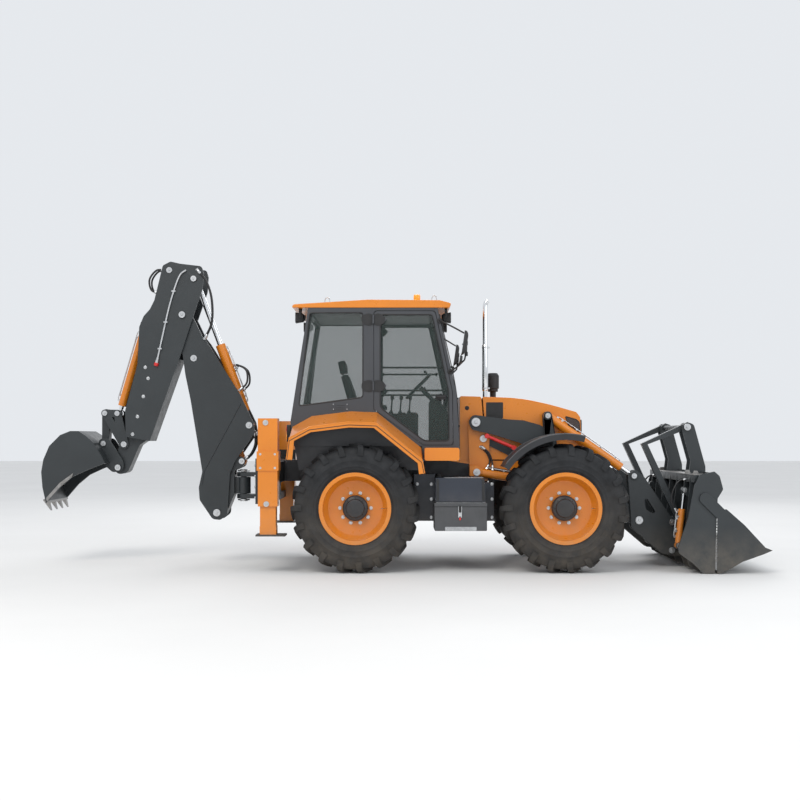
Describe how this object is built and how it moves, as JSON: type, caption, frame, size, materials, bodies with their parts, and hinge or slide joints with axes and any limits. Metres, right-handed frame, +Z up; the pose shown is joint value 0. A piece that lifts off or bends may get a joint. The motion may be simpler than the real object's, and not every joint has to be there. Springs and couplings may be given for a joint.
{
  "type": "backhoe loader",
  "caption": "Backhoe loader with equal wheels, a cab, a front loader with a clam bucket and folded forks, and a rear digger on a side-shift carriage.",
  "frame": {"origin": "on the ground under the middle of the machine's bounding box", "axes": "+X to the loader bucket, +Y to the machine's left, +Z up"},
  "size_m": [7.91, 2.34, 3.4257],
  "materials": {
    "orange": "gloss",
    "dark": "satin",
    "frame_grey": "satin",
    "black": "satin",
    "tyre": "matte",
    "chrome": "polished",
    "glass": "clear",
    "seat": "matte",
    "plastic": "matte",
    "steel": "satin",
    "iron": "rough"
  },
  "bodies": {
    "chassis": {"main_frame": "orange", "engine_block": "iron", "front_axle": "dark", "rear_axle": "dark", "tank": "black", "tool_box": "dark", "cab_frame": "frame_grey", "cab_glass": "glass", "cab_roof": "orange", "seat": "seat", "controls": "plastic", "rear_wings": "orange", "cowl": "orange", "exhaust": "chrome", "precleaner": "plastic", "lamps": "plastic", "mirrors": "plastic"},
    "hood": {"hood": "orange"},
    "door_right": {"door_right": "frame_grey"},
    "door_left": {"door_left": "frame_grey"},
    "knuckle_right": {"knuckle_right": "dark"},
    "knuckle_left": {"knuckle_left": "dark"},
    "arms": {"loader_arms": "dark"},
    "levelling_links": {"levelling_links": "dark"},
    "bell_cranks": {"bell_cranks": "dark"},
    "tilt_barrels": {"tilt_barrels": "orange"},
    "tilt_rods": {"tilt_rods": "chrome"},
    "lift_barrels": {"lift_barrels": "orange"},
    "lift_rods": {"lift_rods": "chrome"},
    "carrier_pins": {"carrier_pins": "steel"},
    "bucket": {"bucket_carrier": "dark", "bucket_back": "dark", "forks": "dark"},
    "clam": {"bucket_clam": "dark"},
    "clam_barrels": {"clam_barrels": "orange"},
    "clam_rods": {"clam_rods": "chrome"},
    "carriage": {"carriage": "dark"},
    "kingpost": {"kingpost": "dark"},
    "boom": {"boom": "dark"},
    "boom_barrel": {"boom_barrel": "orange"},
    "boom_rod": {"boom_rod": "chrome"},
    "dipper": {"dipper": "dark"},
    "dipper_barrel": {"dipper_barrel": "orange"},
    "dipper_rod": {"dipper_rod": "chrome"},
    "stick": {"stick": "dark"},
    "curl_barrel": {"curl_barrel": "orange"},
    "curl_rod": {"curl_rod": "chrome"},
    "rocker": {"rocker": "dark"},
    "bucket_link": {"bucket_link": "dark"},
    "dig_bucket": {"dig_bucket": "dark"},
    "stabilizer_right": {"stabilizer_right": "orange"},
    "stabilizer_left": {"stabilizer_left": "orange"},
    "wheel_front_right": {"tyre_front_right": "tyre", "rim_front_right": "orange"},
    "wheel_front_left": {"tyre_front_left": "tyre", "rim_front_left": "orange"},
    "wheel_rear_right": {"tyre_rear_right": "tyre", "rim_rear_right": "orange"},
    "wheel_rear_left": {"tyre_rear_left": "tyre", "rim_rear_left": "orange"}
  },
  "joints": [
    {"name": "steer_right", "type": "hinge", "parent": "chassis", "child": "knuckle_right", "pos_m": [1.79, -0.8, 0.685], "axis": [0, 0, 1], "range_deg": [-20, 20]},
    {"name": "steer_left", "type": "hinge", "parent": "chassis", "child": "knuckle_left", "pos_m": [1.79, 0.8, 0.685], "axis": [0, 0, 1], "range_deg": [-20.5, 20.5]},
    {"name": "wheel_front_right", "type": "hinge", "parent": "knuckle_right", "child": "wheel_front_right", "pos_m": [1.79, -0.945, 0.685], "axis": [0, 1, 0], "continuous": true},
    {"name": "wheel_rear_right", "type": "hinge", "parent": "chassis", "child": "wheel_rear_right", "pos_m": [-0.43, -0.945, 0.685], "axis": [0, 1, 0], "continuous": true},
    {"name": "wheel_front_left", "type": "hinge", "parent": "knuckle_left", "child": "wheel_front_left", "pos_m": [1.79, 0.945, 0.685], "axis": [0, 1, 0], "continuous": true},
    {"name": "wheel_rear_left", "type": "hinge", "parent": "chassis", "child": "wheel_rear_left", "pos_m": [-0.43, 0.945, 0.685], "axis": [0, 1, 0], "continuous": true},
    {"name": "hood", "type": "hinge", "parent": "chassis", "child": "hood", "pos_m": [2.078, 0, 1.176], "axis": [0, -1, 0], "range_deg": [-50, 0]},
    {"name": "door_right", "type": "hinge", "parent": "chassis", "child": "door_right", "pos_m": [-0.246, -0.765, 1.5], "axis": [0, 0, -1], "range_deg": [0, 55]},
    {"name": "door_left", "type": "hinge", "parent": "chassis", "child": "door_left", "pos_m": [-0.246, 0.765, 1.5], "axis": [0, 0, 1], "range_deg": [0, 55]},
    {"name": "lift", "type": "hinge", "parent": "chassis", "child": "arms", "pos_m": [0.884, 0, 1.605], "axis": [0, -1, 0], "range_deg": [0, 85]},
    {"name": "levelling_link", "type": "hinge", "parent": "chassis", "child": "levelling_links", "pos_m": [0.973, 0, 1.423], "axis": [0, -1, 0], "range_deg": [-1, 86]},
    {"name": "bell_crank", "type": "hinge", "parent": "arms", "child": "bell_cranks", "pos_m": [1.735, 0, 1.186], "axis": [0, -1, 0], "range_deg": [-86, 1]},
    {"name": "lift_barrel", "type": "hinge", "parent": "chassis", "child": "lift_barrels", "pos_m": [0.892, 0, 1.052], "axis": [0, -1, 0], "range_deg": [-1, 72.27]},
    {"name": "lift_rod", "type": "slide", "parent": "lift_barrels", "child": "lift_rods", "axis": [0.9874, 0, -0.1585], "range_m": [-0.002, 0.6803]},
    {"name": "carrier_level", "type": "hinge", "parent": "arms", "child": "carrier_pins", "pos_m": [2.688, 0, 0.521], "axis": [0, -1, 0], "range_deg": [-86, 1]},
    {"name": "tilt", "type": "hinge", "parent": "carrier_pins", "child": "bucket", "pos_m": [2.688, 0, 0.521], "axis": [0, 1, 0], "range_deg": [-15, 60]},
    {"name": "tilt_barrel", "type": "hinge", "parent": "bell_cranks", "child": "tilt_barrels", "pos_m": [1.678, 0, 1.676], "axis": [0, -1, 0], "range_deg": [-1, 86]},
    {"name": "tilt_rod", "type": "slide", "parent": "tilt_barrels", "child": "tilt_rods", "axis": [0.8201, 0, -0.5722], "range_m": [-0.112, 0.4418]},
    {"name": "clam", "type": "hinge", "parent": "bucket", "child": "clam", "pos_m": [3.25, 0, 0.793], "axis": [0, -1, 0], "range_deg": [0, 55]},
    {"name": "clam_barrel", "type": "hinge", "parent": "bucket", "child": "clam_barrels", "pos_m": [3.039, 0, 0.274], "axis": [0, -1, 0], "range_deg": [-6, 6]},
    {"name": "clam_rod", "type": "slide", "parent": "clam_barrels", "child": "clam_rods", "axis": [0.1084, 0, 0.9941], "range_m": [-0.1533, 0.002]},
    {"name": "sideshift", "type": "slide", "parent": "chassis", "child": "carriage", "axis": [0, 1, 0], "range_m": [-0.5, 0.5]},
    {"name": "slew", "type": "hinge", "parent": "carriage", "child": "kingpost", "pos_m": [-1.746, 0, 0.9], "axis": [0, 0, -1], "range_deg": [-90, 90]},
    {"name": "boom", "type": "hinge", "parent": "kingpost", "child": "boom", "pos_m": [-2.032, 0, 0.583], "axis": [0, -1, 0], "range_deg": [0, 92]},
    {"name": "boom_barrel", "type": "hinge", "parent": "kingpost", "child": "boom_barrel", "pos_m": [-1.757, 0, 1.166], "axis": [0, -1, 0], "range_deg": [-1, 91.9]},
    {"name": "boom_rod", "type": "slide", "parent": "boom_barrel", "child": "boom_rod", "axis": [-0.4187, 0, 0.9081], "range_m": [-0.002, 0.9264]},
    {"name": "dipper", "type": "hinge", "parent": "boom", "child": "dipper", "pos_m": [-2.421, 0, 2.825], "axis": [0, 1, 0], "range_deg": [0, 115]},
    {"name": "dipper_barrel", "type": "hinge", "parent": "boom", "child": "dipper_barrel", "pos_m": [-1.668, 0, 1.575], "axis": [0, -1, 0], "range_deg": [-6, 6]},
    {"name": "dipper_rod", "type": "slide", "parent": "dipper_barrel", "child": "dipper_rod", "axis": [-0.3522, 0, 0.9359], "range_m": [-0.7178, 0.002]},
    {"name": "extension", "type": "slide", "parent": "dipper", "child": "stick", "axis": [-0.2756, 0, -0.9613], "range_m": [0, 1]},
    {"name": "curl", "type": "hinge", "parent": "stick", "child": "dig_bucket", "pos_m": [-3.153, 0, 1.096], "axis": [0, -1, 0], "range_deg": [0, 170]},
    {"name": "rocker", "type": "hinge", "parent": "stick", "child": "rocker", "pos_m": [-3.094, 0, 1.358], "axis": [0, -1, 0], "range_deg": [-1, 119]},
    {"name": "bucket_link", "type": "hinge", "parent": "rocker", "child": "bucket_link", "pos_m": [-3.311, 0, 1.712], "axis": [0, -1, 0], "range_deg": [-72, 1]},
    {"name": "curl_barrel", "type": "hinge", "parent": "stick", "child": "curl_barrel", "pos_m": [-2.865, 0, 2.743], "axis": [0, -1, 0], "range_deg": [-6, 6]},
    {"name": "curl_rod", "type": "slide", "parent": "curl_barrel", "child": "curl_rod", "axis": [-0.2829, 0, -0.9591], "range_m": [-0.002, 0.6173]},
    {"name": "stabilizer_right", "type": "slide", "parent": "chassis", "child": "stabilizer_right", "axis": [0, 0, -1], "range_m": [0, 0.52]},
    {"name": "stabilizer_left", "type": "slide", "parent": "chassis", "child": "stabilizer_left", "axis": [0, 0, -1], "range_m": [0, 0.52]}
  ],
  "couplings": [
    {"joint": "steer_left", "follows": "steer_right", "ratio": 1},
    {"joint": "levelling_link", "follows": "lift", "ratio": 1},
    {"joint": "bell_crank", "follows": "lift", "ratio": -1},
    {"joint": "lift_barrel", "follows": "lift", "ratio": 0.83847},
    {"joint": "lift_rod", "follows": "lift", "m_per_rad": 0.45722},
    {"joint": "carrier_level", "follows": "lift", "ratio": -1},
    {"joint": "tilt_barrel", "follows": "lift", "ratio": 1},
    {"joint": "tilt_rod", "follows": "tilt", "m_per_rad": 0.42},
    {"joint": "clam_barrel", "follows": "clam", "ratio": -0.036532},
    {"joint": "clam_rod", "follows": "clam", "m_per_rad": -0.15766},
    {"joint": "boom_barrel", "follows": "boom", "ratio": 0.988},
    {"joint": "boom_rod", "follows": "boom", "m_per_rad": 0.57571},
    {"joint": "dipper_barrel", "follows": "dipper", "ratio": 0.03368},
    {"joint": "dipper_rod", "follows": "dipper", "m_per_rad": -0.35665},
    {"joint": "rocker", "follows": "curl", "ratio": 0.69412},
    {"joint": "bucket_link", "follows": "curl", "ratio": -0.41765},
    {"joint": "curl_barrel", "follows": "curl", "ratio": -0.005021},
    {"joint": "curl_rod", "follows": "curl", "m_per_rad": 0.20739}
  ]
}
